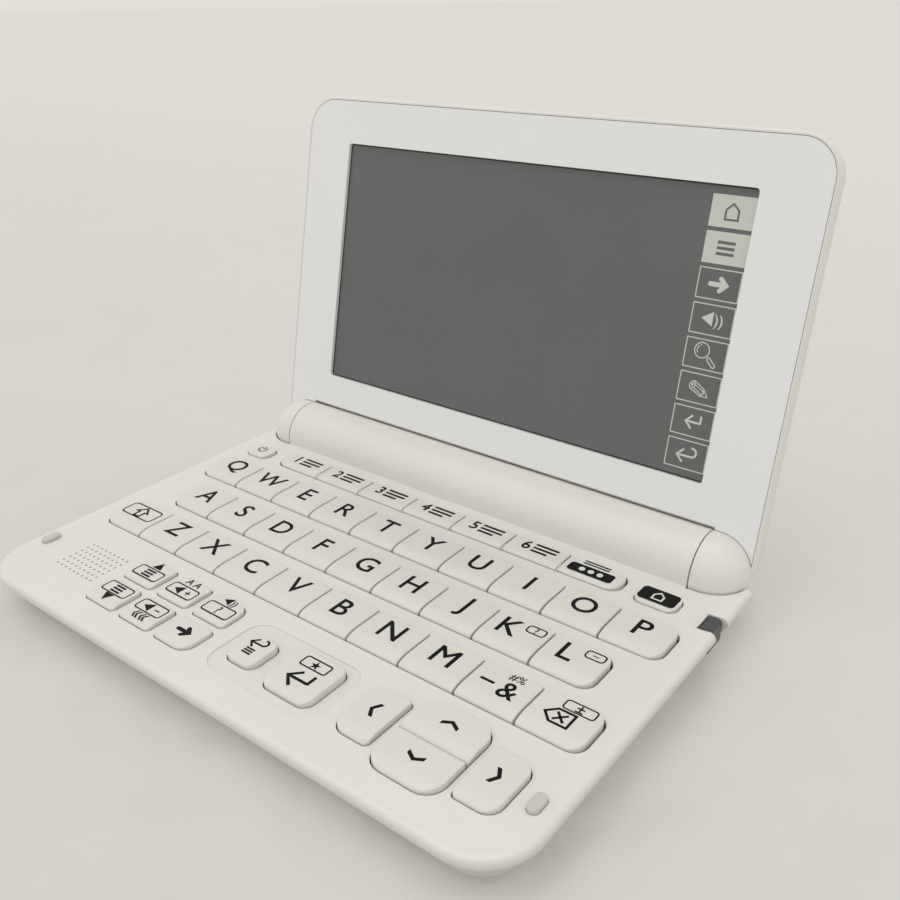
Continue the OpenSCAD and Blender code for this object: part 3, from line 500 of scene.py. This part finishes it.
# Letter keys: 26 caps of the key ABS, one mould for all, each with its letter near the middle of the
# flat top. K and L have a small boxed sign behind it too. Sizes and places of all signs are in mm.
CAP_EDGE = 0.22
LETTER, LETTER_UP, LETTER_BOLD = 7.6, 6.75, 0.08
BOXED, ASIDE = {"k": "?", "l": "~"}, -1.7
SMALL_BOX = (4.5, 2.6, 0.9)
for letter in "qwertyuiopasdfghjklzxcvbnm":
    node = "key_" + letter
    left, front, top, w, d = cap_place(node)
    shift = ASIDE if letter in BOXED else 0
    signs = [printed(letter.upper(), LETTER, (left + w / 2 + shift, front + LETTER_UP, top), black_ink,
                     bold=LETTER_BOLD)]
    if letter in BOXED:
        corner = (left + w - 3.1, front + d - 2.5, top)
        signs += [patch(*SMALL_BOX, corner, black_ink, line=0.36),
                  printed(BOXED[letter], 2.5, corner, black_ink)]
    key_cap(node, node + "_cap", CAP_EDGE, signs)

# Other keys of the third row: shift at the left, symbols and delete at the right. They are caps of
# the letter keys' kind, with an outlined arrow, signs for the two sets and a boxed sign in a corner.
left, front, top, w, d = cap_place("key_shift")
middle = (left + w / 2 - 0.4, front + 6.7, top)
key_cap("key_shift", "key_shift_cap", CAP_EDGE, [
    patch(11, 5.2, 1.2, middle, black_ink, line=0.42),
    printed("⇧", 5.4, middle, black_ink, bold=0.07)])

left, front, top, w, d = cap_place("key_symbol")
key_cap("key_symbol", "key_symbol_cap", CAP_EDGE, [
    printed("−", 6.4, (left + 3.6, front + 5.9, top), black_ink, bold=0.07),
    printed("&", 6.4, (left + 8.6, front + 5.6, top), black_ink, bold=0.07),
    printed("#%", 2.7, (left + 8.2, front + 9.4, top), black_ink)])

left, front, top, w, d = cap_place("key_delete")
corner = (left + 8.3, front + 9.1, top)
key_cap("key_delete", "key_delete_cap", CAP_EDGE, [
    printed("⌫", 5.8, (left + 5.8, front + 5.3, top), black_ink, bold=0.05),
    patch(6.8, 2.8, 0.8, corner, black_ink, line=0.34),
    printed("±", 3.2, corner, black_ink, bold=0.05)])

# Rear row: power at the left, six dictionary keys side by side, menu and home. They are small caps
# of the same ABS. Menu and home have a black printed label with a white sign.
REAR_EDGE, STRIP_EDGE = 0.18, 0.15
left, front, top, w, d = cap_place("key_power")
key_cap("key_power", "key_power_cap", REAR_EDGE, [
    printed("⏻", 3.4, (left + w / 2, front + 3.3, top), black_ink)])

# Each dictionary key has its number and three bars. BARS gives, in mm, a bar's length, how far its
# middle is to the right of the key's, and how far from the front.
DICTIONARIES, DICTIONARY_GAP = 6, 0.45
BAR_T, BAR_ROUND, BARS = 0.75, 0.2, [(6.2, 1.8, 5.6), (6.2, 1.8, 4.2), (4.4, 0.9, 2.8)]
left, front, top, w, d = cap_place("dictionary_keys")
pitch = (w + DICTIONARY_GAP) / DICTIONARIES
signs = []
for number in range(DICTIONARIES):
    middle = left + (number + 0.5) * pitch - 0.2
    signs += [printed(str(number + 1), 4.7, (middle - 3.1, front + 4.3, top), black_ink, bold=0.09)]
    signs += [patch(long, BAR_T, BAR_ROUND, (middle + aside, front + up, top), black_ink)
              for long, aside, up in BARS]
key_cap("dictionary_keys", "dictionary_caps", STRIP_EDGE, signs)

left, front, top, w, d = cap_place("key_menu")
label = (left + w / 2 - 0.4, front + 2.9, top)
key_cap("key_menu", "key_menu_cap", REAR_EDGE, [
    patch(11.2, 3.3, 0.8, label, black_ink),
    patch(6.6, 0.5, 0.2, (label[0], front + 5.4, top), black_ink),
    patch(6.6, 0.5, 0.2, (label[0], front + 6.3, top), black_ink),
    printed("● ● ●", 1.9, (label[0], label[1], top + INK_T), white_ink)])

left, front, top, w, d = cap_place("key_home")
label = (left + w / 2, front + d / 2 + 0.25, top)
key_cap("key_home", "key_home_cap", REAR_EDGE, [
    patch(w - 1, d - 1.2, 1, label, black_ink),
    printed("⌂", 4.2, (label[0], label[1], top + INK_T), white_ink, bold=0.05)])

# Function keys at the front left: six small caps of the same ABS in two rows of three, with page,
# size, sound and jump signs, some in a printed box. GRID is their spacing across and back.
left, front, top, w, d = cap_place("function_keys")
GRID = (11.9, 9.8)
CAP_W = w - 2 * GRID[0]
BOX, BOX_LINE, FUNCTION_BOLD = (8.3, 3.7, 0.9), 0.36, 0.05
# Column and row, then height, size and sign of what is boxed and of what is plain
FUNCTIONS = [(0, 1, 3.4, 4.0, "☰", 6.7, 2.9, "▲"), (0, 0, 5.2, 4.0, "☰", 2.1, 2.9, "▼"),
             (1, 1, 3.4, 2.9, "◀ +", 6.7, 2.6, "A A"), (1, 0, 5.2, 2.9, "◀ −", 2.1, 4.4, "««"),
             (2, 1, 3.4, 3.4, "?", 6.7, 2.5, "◀))"), (2, 0, 0, 0, "", 4.2, 4.8, "➜")]
signs = []
for column, row, box_up, boxed_size, boxed, plain_up, plain_size, plain in FUNCTIONS:
    x = left + column * GRID[0] + CAP_W / 2
    y = front + row * GRID[1]
    if boxed:
        signs += [patch(*BOX, (x, y + box_up, top), black_ink, line=BOX_LINE),
                  printed(boxed, boxed_size, (x, y + box_up, top), black_ink, bold=FUNCTION_BOLD)]
    signs += [printed(plain, plain_size, (x, y + plain_up, top), black_ink, bold=FUNCTION_BOLD)]
key_cap("function_keys", "function_caps", STRIP_EDGE, signs)

# Back and enter keys: two larger caps of the same ABS, side by side inside a raised line of the deck.
# The enter sign is an arrow with its upright bar, and a boxed star stands behind it.
BIG_EDGE = 0.25
left, front, top, w, d = cap_place("key_back")
key_cap("key_back", "key_back_cap", BIG_EDGE, [
    printed("↩", 4.4, (left + w / 2, front + 6.0, top), black_ink, bold=0.07),
    printed("☰", 3.0, (left + w / 2, front + 3.2, top), black_ink, bold=0.06)])

left, front, top, w, d = cap_place("key_enter")
corner = (left + w / 2, front + 9.3, top)
key_cap("key_enter", "key_enter_cap", BIG_EDGE, [
    patch(7, 3.1, 0.7, corner, black_ink, line=0.38),
    printed("★", 2.7, corner, black_ink),
    printed("←", 7.4, (left + w / 2 - 0.2, front + 4.3, top), black_ink, bold=0.06),
    patch(0.75, 2.7, 0.1, (left + w / 2 + 2.6, front + 5.4, top), black_ink)])

# Arrow keys: four larger caps of the same ABS, up and down one above the other and left and right
# beside them, each with a bold chevron that is turned by so many degrees.
CHEVRON = 4.2
for node, turn, side_tabs in (("key_left", 180, False), ("key_right", 0, False), ("key_up", 90, True),
                              ("key_down", 270, True)):
    left, front, top, w, d = cap_place(node, side_tabs)
    key_cap(node, node + "_cap", BIG_EDGE, [
        printed("❯", CHEVRON, (left + w / 2, front + d / 2 + 0.5, top), black_ink, turn=turn)])

# Rear shell of the lid: one moulding of the case's ABS, with the two round knuckles that take the
# hinge pins. Its rim shows round the bezel. The ring-shaped faces of shell and bezel are cut down
# the middle and CUT_UP mm above the table.
LID_EDGE, CUT_UP = 0.06, 59
LID_CUTS = [((0, 0, 0), (1, 0, 0)), ((0, 0, CUT_UP), (0, 0, 1))]
shell = refined("lid_rear_shell", "lid_shell", ivory_abs, LID_EDGE, cuts=LID_CUTS)
fitted(shell, "lid", "ivory_plastic", "lid_rear_shell")

# Bezel of the lid: a thin moulded frame of white ABS that is snapped into the shell and holds the
# glass from the front. Its colour is cooler than the case's and painted brighter, for light that its
# upright face doesn't get. Polished ABS: a tighter highlight than the case's
bezel_abs = moulded("glossy_white_bezel_abs", "#EEEEED", "#EAEAE9", 0.2, mottle=30, grain=1.2,
                    relief=0.002)
bezel = refined("lid_bezel", "screen_bezel", bezel_abs, LID_EDGE, cuts=LID_CUTS)
fitted(bezel, "lid", "bezel_plastic", "lid_bezel")

# Display: a liquid crystal panel bonded behind a satin touch glass, so the two look like one even
# grey sheet while it is switched off.
# Etched touch glass: neutral dark grey under a clear coat that spreads reflections
HAZE, ETCH, ETCH_DEEP = 60, 0.6, 0.002
lcd_glass, place = new_finish("etched_touch_glass")
tree = lcd_glass.node_tree
haze = add_node(tree, "ShaderNodeTexNoise", {"Vector": place, "Scale": 1 / (HAZE * MM), "Detail": 2})
tint = add_node(tree, "ShaderNodeMix", {0: haze.outputs["Fac"], 6: ink_colour("#636564"),
                                        7: ink_colour("#6B6D6C")}, data_type="RGBA")
etch = add_node(tree, "ShaderNodeTexNoise", {"Vector": place, "Scale": 1 / (ETCH * MM), "Detail": 1})
bump = add_node(tree, "ShaderNodeBump", {"Height": etch.outputs["Fac"], "Strength": 0.3,
                                         "Distance": ETCH_DEEP * MM})
shader = add_node(tree, "ShaderNodeBsdfPrincipled", {
    "Base Color": tint.outputs[2], "Roughness": 0.4, "Specular IOR Level": 0.3,
    "Coat Weight": 0.25, "Coat Roughness": 0.25, "Normal": bump.outputs["Normal"]})
add_node(tree, "ShaderNodeOutputMaterial", {"Surface": shader.outputs["BSDF"]})
dress("display_glass", lcd_glass)
dress("display_panel", moulded("panel_back_film", "#3A3D40", "#33363A", 0.4, mottle=40))

# Printed marks on the glass: a black line round its edge, and a strip of eight touch areas at the
# right, the upper two filled and the others outlined, each with one plain sign, all screen-printed.

# The lid's own plane starts at the hinge's axis and leans LEAN degrees up from the table. GLASS_FACE
# is the height of the glass's front over that plane, in mm.
AXIS_AT, LEAN = (0, 35.1749, 10.6), 77.5
LID = Matrix.Translation([c * MM for c in AXIS_AT]) @ Matrix.Rotation(math.radians(LEAN), 4, "X")
GLASS_FACE = -2.24
pale_print = moulded("pale_screen_print", "#CFD1C8", "#C9CBC2", 0.5, mottle=6, relief=0.001)
dark_print = moulded("dark_screen_print", "#6A6C69", "#626461", 0.5, mottle=6, relief=0.001)
edge_print = moulded("black_edge_print", "#1E1F20", "#19191A", 0.4, mottle=6, relief=0.001)
# Width and height of the bezel's window, its middle's distance from the axis, how much larger the
# black line's outside is, and how wide the line is
WINDOW_W, WINDOW_H, WINDOW_MID = 114, 63.8, 49.7
UNDER_BEZEL, EDGE_LINE = 0.6, 0.65
marks = [patch(WINDOW_W + UNDER_BEZEL, WINDOW_H + UNDER_BEZEL, 0.4, (0, WINDOW_MID, GLASS_FACE),
               edge_print, line=EDGE_LINE, plane=LID)]
# Touch areas: size, spacing and lowest edge, then their gap to the window's side, the width of an
# outline and the radius of a corner. The first OUTLINED of them from below aren't filled.
AREA_W, AREA_H, AREA_STEP, AREA_LOW = 9.7, 6.7, 7.6, 19.75
AREA_IN, AREA_LINE, AREA_ROUND = 0.35, 0.24, 0.05
SIGN_SIZE, OUTLINED = 5.2, 6
for area, sign in enumerate(["↩", "←", "✎", "🔍", "◀))", "➜", "☰", "⌂"]):
    filled = area >= OUTLINED
    middle = (WINDOW_W / 2 - AREA_IN - AREA_W / 2, AREA_LOW + AREA_H / 2 + area * AREA_STEP,
              GLASS_FACE)
    above = (middle[0], middle[1], GLASS_FACE + INK_T)
    marks += [patch(AREA_W, AREA_H, AREA_ROUND, middle, pale_print, line=0 if filled else AREA_LINE,
                    plane=LID),
              printed(sign, SIGN_SIZE / len(sign) ** 0.4, above, dark_print if filled else pale_print,
                      plane=LID)]
    if sign == "←":
        marks += [patch(0.45, 1.9, AREA_ROUND, (above[0] + 1.85, above[1] + 0.77, above[2]), pale_print,
                        plane=LID)]
marks = joined(marks[0], marks[1:])
marks.name = "screen_print"
fitted(marks, "lid", "display_glass")
